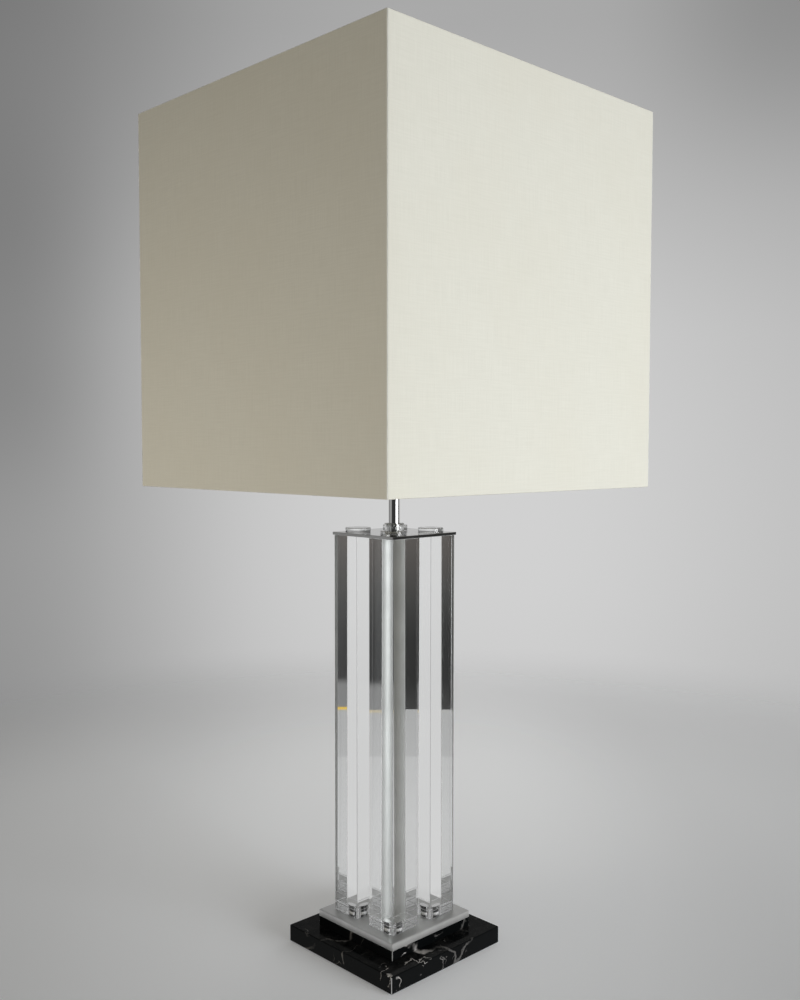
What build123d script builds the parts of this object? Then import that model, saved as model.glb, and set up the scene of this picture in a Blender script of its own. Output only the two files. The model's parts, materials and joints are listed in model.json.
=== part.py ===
from build123d import *
import os
from math import cos, pi, radians, sin, tan

# Column table lamp: a two-step black marble foot, a nickel plate, four clear acrylic square bars,
# a polished top plate with clear buttons, a chrome neck, and a square hard-back shade on a harp.
# Millimetres, +Z up. The origin is the centre of the foot's underside, the bars' sides run along X and Y.

past = 1.0                      # how far a cut runs past a face, and a joined piece into its neighbour

# ---- foot ----
felt_size = 163.0
felt_thick = 1.5
slab_size = 171.0
slab_thick = 19.0
slab_arris = 0.7
riser_size = 122.5
riser_thick = 11.0
riser_arris = 0.5
plate_size = 122.5
plate_thick = 7.9
plate_arris = 0.9
recess_diameter = 54.0          # underneath the slab, round the clamping nut
recess_depth = 11.0

# ---- cord inlet, in the slab's rear edge ----
inlet_height = 9.5              # of the hole's axis above the table
inlet_hole_diameter = 11.0
bushing_bore = 6.6
bushing_length = 12.0
bushing_flange_diameter = 14.5
bushing_flange_thick = 1.6
bushing_slack = 0.15

# ---- bars ----
column_size = 38.1
column_length = 435.0
column_pitch = 58.24            # from axis to axis
column_arris = 0.4
insert_diameter = 13.0          # of the threaded insert in a bar's foot
insert_height = 8.4
insert_slack = 0.1              # on the radius and above it, in the bar
column_screw_diameter = 5.0
column_screw_reach = 7.6        # into the insert
column_screw_head_diameter = 9.6
column_screw_head_height = 2.6
screw_hole_slack = 0.2          # on the radius, in the nickel plate
thread_slack = 0.05             # on the radius, between a screw and its insert

# ---- top plate and its buttons ----
top_plate_overhang = 1.53
top_plate_thick = 3.2
top_plate_arris = 0.35
button_diameter = 28.6
button_thick = 5.0
button_edge = 0.6
shank_diameter = 5.8            # of the peg under a button, turned from the same rod
shank_reach = 20.0              # into the bar
shank_slack = 0.12              # on the radius, in the bar and the top plate
drill_point_angle = 59.0        # of a drilled hole's cone, from its axis
drill_point_flat = 0.05         # radius of the cone's end

# ---- sleeve round the lamp pipe, between the bars ----
sleeve_tube_diameter = 25.4
sleeve_tube_wall = 1.2

# ---- lamp pipe, neck and clamp ----
pipe_diameter = 10.3
pipe_bore = 7.4
pipe_hole_slack = 0.3           # on the radius
pipe_thread_slack = 0.05        # on the radius, in the nut and the lampholder's cap
pipe_below_nut = 1.6
pipe_into_cap = 5.5
clamp_nut_across_flats = 14.0
clamp_nut_thick = 4.0
clamp_washer_diameter = 38.0
clamp_washer_thick = 2.0
neck_diameter = 12.7
neck_slack = 0.25               # between the neck and the pipe
collar_diameter = 22.2
collar_height = 10.0
collar_edge = 0.8
collar_slack = 0.15             # between the collar and the neck

# ---- shade ----
shade_size = 406.0
shade_height = 416.0
shade_gap = 51.4                # from the top plate to the shade's lower edge
fabric_thick = 0.5
lining_thick = 1.0
lining_inset = 0.7              # of the lining's edges from the shade's, under the turned-in cloth
wire_diameter = 3.4
wire_gap = 0.05                 # between a frame wire and the lining
wire_inset = 0.6                # of a frame wire from the shade's edge
wire_corner_radius = 6.0
spider_drop = 26.0              # of the spider below the shade's upper edge
spider_arm_diameter = 3.0
spider_arm_rise = 26.0          # run over which an arm climbs to the frame
spider_arm_bend = 9.0
spider_washer_diameter = 28.0
spider_washer_thick = 1.8

# ---- harp ----
harp_height = 305.0             # from the saddle's seat to the shade's seat
harp_wire_diameter = 3.5
harp_foot_spacing = 57.0
harp_widest = 112.0
harp_shoulder_width = 44.0
harp_knee_height = 40.0         # of the wire's corners above the saddle
harp_low_height = 104.0
harp_high_height = 214.0
harp_knee_bend = 16.0
harp_low_bend = 40.0
harp_high_bend = 46.0
harp_shoulder_bend = 15.0
harp_wire_sunk = 1.0            # of the wire in the top piece
harp_top_diameter = 14.0
harp_top_thick = 5.1
harp_stud_diameter = 6.3
harp_stud_height = 13.0
saddle_thick = 1.6
saddle_width = 14.0
saddle_end_radius = 6.0
saddle_pin_height = 11.0
sleeve_diameter = 6.6
sleeve_length = 22.0
sleeve_slack = 0.08             # on the radius, over the harp's wire
sleeve_seat_gap = 0.3           # above the saddle
finial_bore_slack = 0.05        # on the radius, round the stud
spider_bore_slack = 0.1         # on the radius, round the stud

# ---- finial ----
finial_base_diameter = 13.0
finial_base_height = 3.0
finial_base_edge = 0.8
finial_neck_diameter = 9.5
finial_neck_height = 4.0
finial_ball_diameter = 16.0
finial_bore_depth = 13.5

# ---- lampholder ----
cap_diameter = 34.6
cap_wall = 0.8
cap_hub_diameter = 17.0
cap_hub_height = 6.0
cap_flare_height = 9.0
cap_height = 24.0
shell_diameter = 32.6
shell_wall = 0.6
shell_height = 43.0
shell_overlap = 5.0             # of the shell into the cap
liner_slack = 0.2
liner_wall = 0.6
liner_inset = 1.0               # of the liner's ends from the shell's
body_height = 18.0
body_arris = 0.5
body_inset = 1.0                # of the body's underside from the shell's
body_slack = 0.3                # between the insulating body and the liner
contact_thread_wall = 0.4
contact_thread_height = 22.0
bulb_thread_slack = 0.35        # between the bulb's thread and the lampholder's
centre_contact_diameter = 8.0
centre_contact_height = 1.4
terminal_diameter = 5.0
terminal_slack = 0.05           # on the radius, in the body
terminal_length = 2.6
terminal_proud = 0.1            # of the body's side
terminal_height = 5.0           # of the screws above the body's underside

# ---- turn key ----
key_height = 6.5                # of the shaft's axis above the body's underside
key_shaft_diameter = 3.6
key_shaft_depth = 9.0           # into the body
key_shaft_slack = 0.06          # on the radius, in the body
key_shaft_end_slack = 0.3       # at the shaft's end, in the body
key_hole_slack = 0.7            # on the radius, in the shell and the liner
key_standoff = 9.0              # from the shell to the knob
key_knob_diameter = 11.0
key_knob_length = 9.0
key_knob_arris = 0.8
key_flutes = 10
key_flute_diameter = 1.8
key_flute_depth = 0.45

# ---- bulb ----
bulb_length = 108.0
bulb_diameter = 60.0
bulb_glass_wall = 0.9
bulb_neck_diameter = 25.4
bulb_cone_angle = 35.0
bulb_thread_diameter = 26.0
bulb_thread_depth = 0.7
bulb_thread_pitch = 3.63
bulb_thread_turns = 5
bulb_cap_wall = 0.5
bulb_cap_skirt = 3.4
bulb_insulator_height = 3.6
bulb_insulator_margin = 0.6     # round the tip
bulb_tip_diameter = 9.0
bulb_tip_height = 1.6
bulb_glass_depth = 6.0          # of the glass neck inside the cap
bulb_glue_gap = 0.2             # between the glass's neck and the cap
filament_wire_diameter = 0.8
filament_height = 44.0          # above the cap's rim
filament_span = 22.0
filament_foot_diameter = 12.7
filament_foot_height = 3.4      # above the cap's rim
filament_lead_spacing = 6.4
filament_lead_straight = 6.0
filament_bend = 1.6

# ---- levels ----
slab_bottom = felt_thick
slab_top = slab_bottom + slab_thick
riser_top = slab_top + riser_thick
plate_top = riser_top + plate_thick
column_top = plate_top + column_length
top_plate_top = column_top + top_plate_thick
recess_top = slab_bottom + recess_depth
shade_bottom = top_plate_top + shade_gap
shade_top = shade_bottom + shade_height
shade_seat = shade_top - spider_drop
saddle_top = shade_seat - harp_height
saddle_bottom = saddle_top - saddle_thick
cap_bottom = saddle_top
shell_bottom = cap_bottom + cap_height - shell_overlap
shell_top = shell_bottom + shell_height
body_bottom = shell_bottom + body_inset
body_top = body_bottom + body_height
bulb_bottom = body_top + centre_contact_height
key_level = body_bottom + key_height

# ---- radii that follow from fits ----
pipe_hole_radius = pipe_diameter / 2 + pipe_hole_slack
neck_bore_radius = pipe_diameter / 2 + neck_slack
liner_radius = shell_diameter / 2 - shell_wall - liner_slack
body_radius = liner_radius - liner_wall - body_slack
bulb_thread_radius = bulb_thread_diameter / 2
contact_thread_radius = bulb_thread_radius + bulb_thread_slack
shank_radius = shank_diameter / 2
column_screw_radius = column_screw_diameter / 2
insert_radius = insert_diameter / 2
harp_wire_radius = harp_wire_diameter / 2
harp_stud_radius = harp_stud_diameter / 2
top_plate_size = column_pitch + column_size + 2 * top_plate_overhang

column_places = {
    "front": (column_pitch / 2, -column_pitch / 2),
    "left": (-column_pitch / 2, -column_pitch / 2),
    "right": (column_pitch / 2, column_pitch / 2),
    "back": (-column_pitch / 2, column_pitch / 2),
}


def rod(radius, bottom, top, x=0.0, y=0.0):
    """A round bar standing between two levels."""
    return Pos(x, y, (bottom + top) / 2) * Cylinder(radius, top - bottom)


def block(size, bottom, top):
    """A square block on the lamp's axis, standing between two levels."""
    return Pos(0, 0, (bottom + top) / 2) * Box(size, size, top - bottom)


def tube(outer, inner, bottom, top, x=0.0, y=0.0):
    """A round tube standing between two levels."""
    return rod(outer, bottom, top, x, y) - rod(inner, bottom - past, top + past, x, y)


def turned(points):
    """A solid turned about the lamp's axis from its (radius, height) outline."""
    face = make_face(Polyline(*[(r, 0, z) for r, z in points], close=True))
    return revolve(face, Axis.Z)


def square_loop(size, level, radius, corner):
    """A round wire bent to a square of that centre-line size."""
    half = size / 2
    corners = [(-half, -half, level), (half, -half, level), (half, half, level), (-half, half, level)]
    path = FilletPolyline(*corners, radius=corner, close=True)
    section = Plane(origin=(0, -half, level), x_dir=(0, 1, 0), z_dir=(1, 0, 0)) * Circle(radius)
    return sweep(section, path=path)


def group(solids):
    """Separate solids that share a node."""
    return Compound(children=[s.solid() for s in solids])


# ---- foot ----
def base_felt():
    return block(felt_size, 0, felt_thick)


def base_slab():
    slab = block(slab_size, slab_bottom, slab_top)
    slab = chamfer(slab.edges(), slab_arris)
    slab -= rod(recess_diameter / 2, slab_bottom - past, recess_top)
    slab -= rod(pipe_hole_radius, slab_bottom, slab_top + past)
    inlet_length = slab_size / 2 - recess_diameter / 4
    inlet = Rot(90, 0, 0) * Cylinder(inlet_hole_diameter / 2, inlet_length)
    return slab - Pos(0, slab_size / 2 + past - inlet_length / 2, inlet_height) * inlet


def cord_bushing():
    rear = slab_size / 2
    barrel = Rot(90, 0, 0) * Cylinder(inlet_hole_diameter / 2 - bushing_slack, bushing_length)
    flange = Rot(90, 0, 0) * Cylinder(bushing_flange_diameter / 2, bushing_flange_thick)
    bore = Rot(90, 0, 0) * Cylinder(bushing_bore / 2, 3 * bushing_length)
    bushing = Pos(0, rear - bushing_length / 2, inlet_height) * barrel
    bushing += Pos(0, rear + bushing_flange_thick / 2, inlet_height) * flange
    return bushing - Pos(0, rear, inlet_height) * bore


def base_riser():
    riser = block(riser_size, slab_top, riser_top)
    riser = chamfer(riser.edges(), riser_arris)
    return riser - rod(pipe_hole_radius, slab_top - past, riser_top + past)


def screw_hole(x, y):
    """The hole and countersink of one bar's screw, up through the nickel plate."""
    shank = column_screw_radius + screw_hole_slack
    head = column_screw_head_diameter / 2 + screw_hole_slack
    sink = Cone(head, shank, column_screw_head_height)
    hole = rod(shank, riser_top - past, plate_top + past, x, y)
    return hole + Pos(x, y, riser_top + column_screw_head_height / 2) * sink


def base_plate():
    plate = block(plate_size, riser_top, plate_top)
    plate = chamfer(plate.edges().group_by(Axis.Z)[-1], plate_arris)
    plate -= rod(pipe_hole_radius, riser_top - past, plate_top + past)
    for x, y in column_places.values():
        plate -= screw_hole(x, y)
    return plate


def column_screws():
    screws = []
    for x, y in column_places.values():
        head = Cone(column_screw_head_diameter / 2, column_screw_radius, column_screw_head_height)
        screw = Pos(x, y, riser_top + column_screw_head_height / 2) * head
        screws.append(screw + rod(column_screw_radius, riser_top, plate_top + column_screw_reach, x, y))
    return group(screws)


# ---- bars ----
def column(x, y):
    bar = Pos(x, y, (plate_top + column_top) / 2) * Box(column_size, column_size, column_length)
    bar = chamfer(bar.edges(), column_arris)
    bar -= rod(insert_radius + insert_slack, plate_top - past, plate_top + insert_height + insert_slack, x, y)
    hole_radius = shank_radius + shank_slack
    hole_bottom = column_top - shank_reach - shank_slack
    bar -= rod(hole_radius, hole_bottom, column_top + past, x, y)
    point = hole_radius / tan(radians(drill_point_angle))
    return bar - Pos(x, y, hole_bottom - point / 2) * Cone(drill_point_flat, hole_radius, point)


def column_inserts():
    bottom, top = plate_top, plate_top + insert_height
    bore = column_screw_radius + thread_slack
    return group([tube(insert_radius, bore, bottom, top, x, y) for x, y in column_places.values()])


# ---- top plate ----
def top_plate():
    plate = block(top_plate_size, column_top, top_plate_top)
    plate = chamfer(plate.edges(), top_plate_arris)
    plate -= rod(pipe_hole_radius, column_top - past, top_plate_top + past)
    for x, y in column_places.values():
        plate -= rod(shank_radius + shank_slack, column_top - past, top_plate_top + past, x, y)
    return plate


def cap_button(x, y):
    """A button and the peg that holds it, through the top plate, in a bar's head."""
    button = rod(button_diameter / 2, top_plate_top, top_plate_top + button_thick, x, y)
    button = fillet(button.edges().group_by(Axis.Z)[-1], button_edge)
    return button + rod(shank_radius, column_top - shank_reach, top_plate_top + past, x, y)


# ---- sleeve, pipe, neck and clamp ----
def pipe_sleeve():
    outer = sleeve_tube_diameter / 2
    return tube(outer, outer - sleeve_tube_wall, plate_top, column_top)


def clamp_washer():
    return tube(clamp_washer_diameter / 2, pipe_hole_radius, recess_top - clamp_washer_thick, recess_top)


def clamp_nut():
    top = recess_top - clamp_washer_thick
    corner_radius = clamp_nut_across_flats / 2 / cos(pi / 6)
    nut = Pos(0, 0, top - clamp_nut_thick) * extrude(RegularPolygon(corner_radius, 6), clamp_nut_thick)
    return nut - rod(pipe_diameter / 2 + pipe_thread_slack, top - clamp_nut_thick - past, top + past)


def lamp_pipe():
    bottom = recess_top - clamp_washer_thick - clamp_nut_thick - pipe_below_nut
    return tube(pipe_diameter / 2, pipe_bore / 2, bottom, cap_bottom + pipe_into_cap)


def neck_tube():
    return tube(neck_diameter / 2, neck_bore_radius, top_plate_top, saddle_bottom)


def neck_collar():
    collar = rod(collar_diameter / 2, top_plate_top, top_plate_top + collar_height)
    collar = fillet(collar.edges().group_by(Axis.Z)[-1], collar_edge)
    bore = neck_diameter / 2 + collar_slack
    return collar - rod(bore, top_plate_top - past, top_plate_top + collar_height + past)


# ---- harp ----
def harp_saddle():
    length = harp_foot_spacing + 2 * saddle_end_radius
    strip = Pos(0, 0, (saddle_bottom + saddle_top) / 2) * Box(length, saddle_width, saddle_thick)
    ends = strip.edges().filter_by(Axis.Z)
    saddle = fillet(ends, saddle_end_radius)
    saddle -= rod(pipe_hole_radius, saddle_bottom - past, saddle_top + past)
    for side in (-1, 1):
        x = side * harp_foot_spacing / 2
        saddle += rod(harp_wire_radius, saddle_bottom, saddle_top + saddle_pin_height, x)
    return saddle


def harp():
    """One wire from foot to foot, over the top piece."""
    foot = harp_foot_spacing / 2
    wide = harp_widest / 2
    shoulder = harp_shoulder_width / 2
    bottom = saddle_top + saddle_pin_height
    seat_bottom = shade_seat - harp_top_thick
    top = seat_bottom + harp_wire_sunk - harp_wire_radius
    knee = saddle_top + harp_knee_height
    low = saddle_top + harp_low_height
    high = saddle_top + harp_high_height
    half = [(foot, bottom), (foot, knee), (wide, low), (wide, high), (shoulder, top)]
    points = [(-x, 0, z) for x, z in half] + [(x, 0, z) for x, z in reversed(half)]
    bends = [harp_knee_bend, harp_low_bend, harp_high_bend, harp_shoulder_bend]
    path = FilletPolyline(*points, radius=bends + bends[::-1])
    section = Pos(-foot, 0, bottom) * Circle(harp_wire_radius)
    wire = sweep(section, path=path)
    seat = rod(harp_top_diameter / 2, seat_bottom, shade_seat)
    return wire + seat + rod(harp_stud_radius, shade_seat - past, shade_seat + harp_stud_height)


def harp_sleeve(side):
    bottom = saddle_top + sleeve_seat_gap
    bore = harp_wire_radius + sleeve_slack
    sleeve = tube(sleeve_diameter / 2, bore, bottom, bottom + sleeve_length, side * harp_foot_spacing / 2)
    return sleeve


# ---- lampholder ----
def socket_cap():
    outer = cap_diameter / 2
    hub = cap_hub_diameter / 2
    hub_top = cap_bottom + cap_hub_height
    flare_top = hub_top + cap_flare_height
    rim = cap_bottom + cap_height
    bore = pipe_diameter / 2 + pipe_thread_slack
    outline = [
        (bore, cap_bottom), (hub, cap_bottom), (hub, hub_top), (outer, flare_top), (outer, rim),
        (outer - cap_wall, rim), (outer - cap_wall, flare_top + cap_wall / 2),
        (hub - cap_wall, hub_top + cap_wall), (bore, hub_top + cap_wall),
    ]
    return turned(outline)


def key_hole(radius):
    """The hole for the key's shaft, from the lampholder's axis to outside its front."""
    reach = cap_diameter
    return Pos(0, -reach / 2, key_level) * Rot(90, 0, 0) * Cylinder(radius, reach)


def socket_shell():
    outer = shell_diameter / 2
    shell = tube(outer, outer - shell_wall, shell_bottom, shell_top)
    return shell - key_hole(key_shaft_diameter / 2 + key_hole_slack)


def socket_liner():
    bottom, top = shell_bottom + liner_inset, shell_top - liner_inset
    liner = tube(liner_radius, liner_radius - liner_wall, bottom, top)
    return liner - key_hole(key_shaft_diameter / 2 + key_hole_slack)


def socket_body():
    body = rod(body_radius, body_bottom, body_top)
    body = chamfer(body.edges(), body_arris)
    bore_radius = key_shaft_diameter / 2 + key_shaft_slack
    reach = body_radius + past
    bore = Rot(90, 0, 0) * Cylinder(bore_radius, reach)
    depth = body_radius - key_shaft_depth - key_shaft_end_slack
    body -= Pos(0, -depth - reach / 2, key_level) * bore
    for side in (-1, 1):
        body -= terminal(side, terminal_diameter / 2 + terminal_slack)
    return body


def terminal(side, radius):
    """A terminal screw's head, or the seat it lies in, on one side of the insulating body."""
    x = side * (body_radius + terminal_proud - terminal_length / 2)
    return Pos(x, 0, body_bottom + terminal_height) * Rot(0, 90, 0) * Cylinder(radius, terminal_length)


def terminal_screws():
    return group([terminal(side, terminal_diameter / 2) for side in (-1, 1)])


def thread_outline(radius, bottom):
    """The zigzag (radius, height) points of a rolled lamp thread, from its bottom to its top."""
    root = radius - bulb_thread_depth
    points = []
    for turn in range(bulb_thread_turns):
        z = bottom + turn * bulb_thread_pitch
        points.append((root, z))
        points.append((radius, z + bulb_thread_pitch / 2))
    points.append((root, bottom + bulb_thread_turns * bulb_thread_pitch))
    return points


def contact_thread():
    """The lampholder's screw shell, on the insulating body."""
    inner = contact_thread_radius
    outer = inner + contact_thread_wall
    return tube(outer, inner, body_top, body_top + contact_thread_height)


def centre_contact():
    return rod(centre_contact_diameter / 2, body_top, bulb_bottom)


# ---- turn key ----
def switch_key():
    shell_front = shell_diameter / 2
    knob_back = shell_front + key_standoff
    shaft_start = body_radius - key_shaft_depth
    shaft_length = knob_back - shaft_start + past
    shaft = Pos(0, -shaft_start - shaft_length / 2, 0) * Rot(90, 0, 0)
    shaft = shaft * Cylinder(key_shaft_diameter / 2, shaft_length)
    knob = Rot(90, 0, 0) * Cylinder(key_knob_diameter / 2, key_knob_length)
    knob = chamfer(knob.edges(), key_knob_arris)
    for flute in range(key_flutes):
        angle = 2 * pi * flute / key_flutes
        reach = (key_knob_diameter + key_flute_diameter) / 2 - key_flute_depth
        place = Pos(reach * cos(angle), 0, reach * sin(angle))
        knob -= place * Rot(90, 0, 0) * Cylinder(key_flute_diameter / 2, key_knob_length + past)
    key = shaft + Pos(0, -knob_back - key_knob_length / 2, 0) * knob
    return Pos(0, 0, key_level) * key


# ---- bulb ----
bulb_cap_bottom = bulb_bottom + bulb_tip_height + bulb_insulator_height
bulb_cap_rim = bulb_cap_bottom + bulb_thread_turns * bulb_thread_pitch + bulb_cap_skirt


def bulb_cap():
    outer = thread_outline(bulb_thread_radius, bulb_cap_bottom)
    inner_radius = bulb_thread_radius - bulb_thread_depth - bulb_cap_wall
    rim_radius = bulb_thread_radius - bulb_thread_depth / 2
    inside = [(rim_radius, bulb_cap_rim), (inner_radius, bulb_cap_rim), (inner_radius, bulb_cap_bottom)]
    return turned(outer + inside)


def bulb_insulator():
    top_radius = bulb_thread_radius - bulb_thread_depth
    seat = bulb_tip_diameter / 2 + bulb_insulator_margin
    bottom = bulb_bottom + bulb_tip_height
    return turned([(0, bottom), (seat, bottom), (top_radius, bulb_cap_bottom), (0, bulb_cap_bottom)])


def bulb_tip():
    return rod(bulb_tip_diameter / 2, bulb_bottom, bulb_bottom + bulb_tip_height)


def bulb_outline(wall):
    """Half of the glass's outline, drawn in by a wall thickness, closed along the axis."""
    radius = bulb_diameter / 2 - wall
    centre = bulb_bottom + bulb_length - bulb_diameter / 2
    neck = bulb_neck_diameter / 2 - wall
    seat = bulb_thread_radius - bulb_thread_depth - bulb_cap_wall - bulb_glue_gap - wall
    angle = radians(bulb_cone_angle)
    low = (radius * cos(angle), 0, centre - radius * sin(angle))
    cone_end = (neck, 0, low[2] - (low[0] - neck) / tan(angle))
    rim = bulb_cap_rim + wall
    floor = bulb_cap_rim - bulb_glass_depth
    top = ThreePointArc((0, 0, centre + radius), (radius * sin(pi / 4), 0, centre + radius * cos(pi / 4)),
                        (radius, 0, centre))
    halfway = (radius * cos(angle / 2), 0, centre - radius * sin(angle / 2))
    side = ThreePointArc((radius, 0, centre), halfway, low)
    stem = Polyline(low, cone_end, (neck, 0, rim), (seat, 0, rim), (seat, 0, floor), (0, 0, floor),
                    (0, 0, centre + radius))
    return make_face(Curve() + [top, side, stem])


def bulb_glass():
    outer = revolve(bulb_outline(0), Axis.Z)
    inner = revolve(bulb_outline(bulb_glass_wall), Axis.Z)
    seat = bulb_thread_radius - bulb_thread_depth - bulb_cap_wall - bulb_glue_gap
    mouth = rod(seat - bulb_glass_wall, bulb_cap_rim - bulb_glass_depth - past, bulb_cap_rim)
    return outer - inner - mouth


def bulb_filament():
    """Two lead wires and the filament between them, on a glass foot in the bulb's neck."""
    radius = filament_wire_diameter / 2
    foot_top = bulb_cap_rim + filament_foot_height
    foot = rod(filament_foot_diameter / 2, bulb_cap_rim - bulb_glass_depth, foot_top)
    level = bulb_cap_rim + filament_height
    half = filament_span / 2
    near = filament_lead_spacing / 2
    start = foot_top - past
    bend = foot_top + filament_lead_straight
    points = [(-near, 0, start), (-near, 0, bend), (-half, 0, level), (half, 0, level), (near, 0, bend),
              (near, 0, start)]
    path = FilletPolyline(*points, radius=filament_bend)
    section = Pos(-near, 0, start) * Circle(radius)
    return foot + sweep(section, path=path)


# ---- shade ----
def square_shell(outer, thick, bottom, top):
    """One layer of the shade: an upright square tube, open above and below."""
    return block(outer, bottom, top) - block(outer - 2 * thick, bottom - past, top + past)


def shade_fabric():
    return square_shell(shade_size, fabric_thick, shade_bottom, shade_top)


def shade_lining():
    outer = shade_size - 2 * fabric_thick
    return square_shell(outer, lining_thick, shade_bottom + lining_inset, shade_top - lining_inset)


wire_radius = wire_diameter / 2
lining_inside = shade_size - 2 * fabric_thick - 2 * lining_thick
frame_size = lining_inside - 2 * (wire_radius + wire_gap)


def shade_bottom_frame():
    level = shade_bottom + wire_inset + wire_radius
    return square_loop(frame_size, level, wire_radius, wire_corner_radius)


def shade_top_frame():
    """The upper wire with the spider welded into it."""
    level = shade_top - wire_inset - wire_radius
    frame = square_loop(frame_size, level, wire_radius, wire_corner_radius)
    arm_level = shade_seat + spider_washer_thick / 2
    end = frame_size / 2
    arm_radius = spider_arm_diameter / 2
    inner = spider_washer_diameter / 4
    path = FilletPolyline((inner, 0, arm_level), (end - spider_arm_rise, 0, arm_level), (end, 0, level),
                          radius=spider_arm_bend)
    section = Plane(origin=(inner, 0, arm_level), x_dir=(0, 1, 0), z_dir=(1, 0, 0)) * Circle(arm_radius)
    arm = sweep(section, path=path)
    arm -= block(spider_washer_diameter, shade_seat - spider_arm_diameter, shade_seat)
    arm -= block(spider_washer_diameter, shade_seat + spider_washer_thick, shade_seat + spider_arm_diameter)
    for quarter in range(4):
        frame += Rot(0, 0, 90 * quarter) * arm
    frame += rod(spider_washer_diameter / 2, shade_seat, shade_seat + spider_washer_thick)
    bore = harp_stud_radius + spider_bore_slack
    return frame - rod(bore, shade_seat - past, shade_seat + spider_washer_thick + past)


# ---- finial ----
def finial():
    bottom = shade_seat + spider_washer_thick
    neck_bottom = bottom + finial_base_height
    neck_top = neck_bottom + finial_neck_height
    ball = finial_ball_diameter / 2
    neck = finial_neck_diameter / 2
    knob = rod(finial_base_diameter / 2, bottom, neck_bottom)
    knob = fillet(knob.edges().group_by(Axis.Z)[-1], finial_base_edge)
    knob += rod(neck, neck_bottom - past, neck_top + past)
    centre = neck_top + (ball ** 2 - neck ** 2) ** 0.5
    knob += Pos(0, 0, centre) * Sphere(ball)
    return knob - rod(harp_stud_radius + finial_bore_slack, bottom - past, bottom + finial_bore_depth)


nodes = {
    "base_felt": base_felt(),
    "base_slab": base_slab(),
    "cord_bushing": cord_bushing(),
    "base_riser": base_riser(),
    "base_plate": base_plate(),
    "column_screws": column_screws(),
    "column_inserts": column_inserts(),
    "top_plate": top_plate(),
    "pipe_sleeve": pipe_sleeve(),
    "clamp_washer": clamp_washer(),
    "clamp_nut": clamp_nut(),
    "lamp_pipe": lamp_pipe(),
    "neck_tube": neck_tube(),
    "neck_collar": neck_collar(),
    "harp_saddle": harp_saddle(),
    "harp": harp(),
    "harp_sleeve_left": harp_sleeve(-1),
    "harp_sleeve_right": harp_sleeve(1),
    "socket_cap": socket_cap(),
    "socket_shell": socket_shell(),
    "socket_liner": socket_liner(),
    "socket_body": socket_body(),
    "terminal_screws": terminal_screws(),
    "contact_thread": contact_thread(),
    "centre_contact": centre_contact(),
    "switch_key": switch_key(),
    "bulb_tip": bulb_tip(),
    "bulb_insulator": bulb_insulator(),
    "bulb_cap": bulb_cap(),
    "bulb_glass": bulb_glass(),
    "bulb_filament": bulb_filament(),
    "shade_fabric": shade_fabric(),
    "shade_lining": shade_lining(),
    "shade_bottom_frame": shade_bottom_frame(),
    "shade_top_frame": shade_top_frame(),
    "finial": finial(),
}
for name, (x, y) in column_places.items():
    nodes["column_" + name] = column(x, y)
    nodes["cap_button_" + name] = cap_button(x, y)

os.makedirs("parts", exist_ok=True)
for name, shape in nodes.items():
    export_step(shape, "parts/" + name + ".step")
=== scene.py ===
import json
import math

import bmesh
import bpy
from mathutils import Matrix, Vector

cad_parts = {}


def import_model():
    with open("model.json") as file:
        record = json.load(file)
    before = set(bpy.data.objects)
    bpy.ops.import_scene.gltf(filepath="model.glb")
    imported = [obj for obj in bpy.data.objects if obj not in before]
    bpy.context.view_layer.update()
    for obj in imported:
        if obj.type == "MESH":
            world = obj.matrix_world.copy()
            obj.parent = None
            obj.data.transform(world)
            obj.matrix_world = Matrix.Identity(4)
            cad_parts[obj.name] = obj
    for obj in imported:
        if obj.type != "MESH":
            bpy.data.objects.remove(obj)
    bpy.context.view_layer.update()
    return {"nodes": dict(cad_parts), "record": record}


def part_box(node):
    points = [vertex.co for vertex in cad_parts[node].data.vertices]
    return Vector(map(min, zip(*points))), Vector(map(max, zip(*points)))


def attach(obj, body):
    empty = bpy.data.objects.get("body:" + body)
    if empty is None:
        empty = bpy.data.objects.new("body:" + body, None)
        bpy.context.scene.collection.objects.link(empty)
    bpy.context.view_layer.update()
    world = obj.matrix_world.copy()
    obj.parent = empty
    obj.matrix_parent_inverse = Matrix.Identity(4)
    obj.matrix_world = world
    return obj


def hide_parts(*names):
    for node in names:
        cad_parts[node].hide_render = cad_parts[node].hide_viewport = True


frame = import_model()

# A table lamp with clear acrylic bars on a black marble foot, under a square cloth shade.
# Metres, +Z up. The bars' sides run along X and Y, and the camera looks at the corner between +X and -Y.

MM = 0.001
ON_AXIS = 1e-5           # radius of the pin-prick that a lathe leaves on its axis, before it is closed


# ---------------------------------------------------------------- node trees

def add(tree, kind, inputs=None, **settings):
    """One node, with its settings, and its inputs linked or set."""
    node = tree.nodes.new(kind)
    for name, value in settings.items():
        setattr(node, name, value)
    for name, value in (inputs or {}).items():
        if isinstance(value, bpy.types.NodeSocket):
            tree.links.new(value, node.inputs[name])
        else:
            node.inputs[name].default_value = value
    return node


def spaced(sockets):
    """Sockets by their labels, which have spaces where the names here have underscores."""
    return {label.replace("_", " "): value for label, value in sockets.items()}


def feed(tree, node, **sockets):
    """Links to a node's sockets, by their names."""
    for label, value in spaced(sockets).items():
        tree.links.new(value, node.inputs[label])


def maths(tree, operation, a, b=0.0, c=0.0, clamp=False):
    """The result of one calculation on sockets or numbers."""
    return add(tree, "ShaderNodeMath", {0: a, 1: b, 2: c}, operation=operation, use_clamp=clamp).outputs[0]


def times(tree, a, b):
    return maths(tree, "MULTIPLY", a, b)


def above(tree, value, limit):
    """1 over the limit, and 0 under it."""
    return maths(tree, "GREATER_THAN", value, limit)


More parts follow.
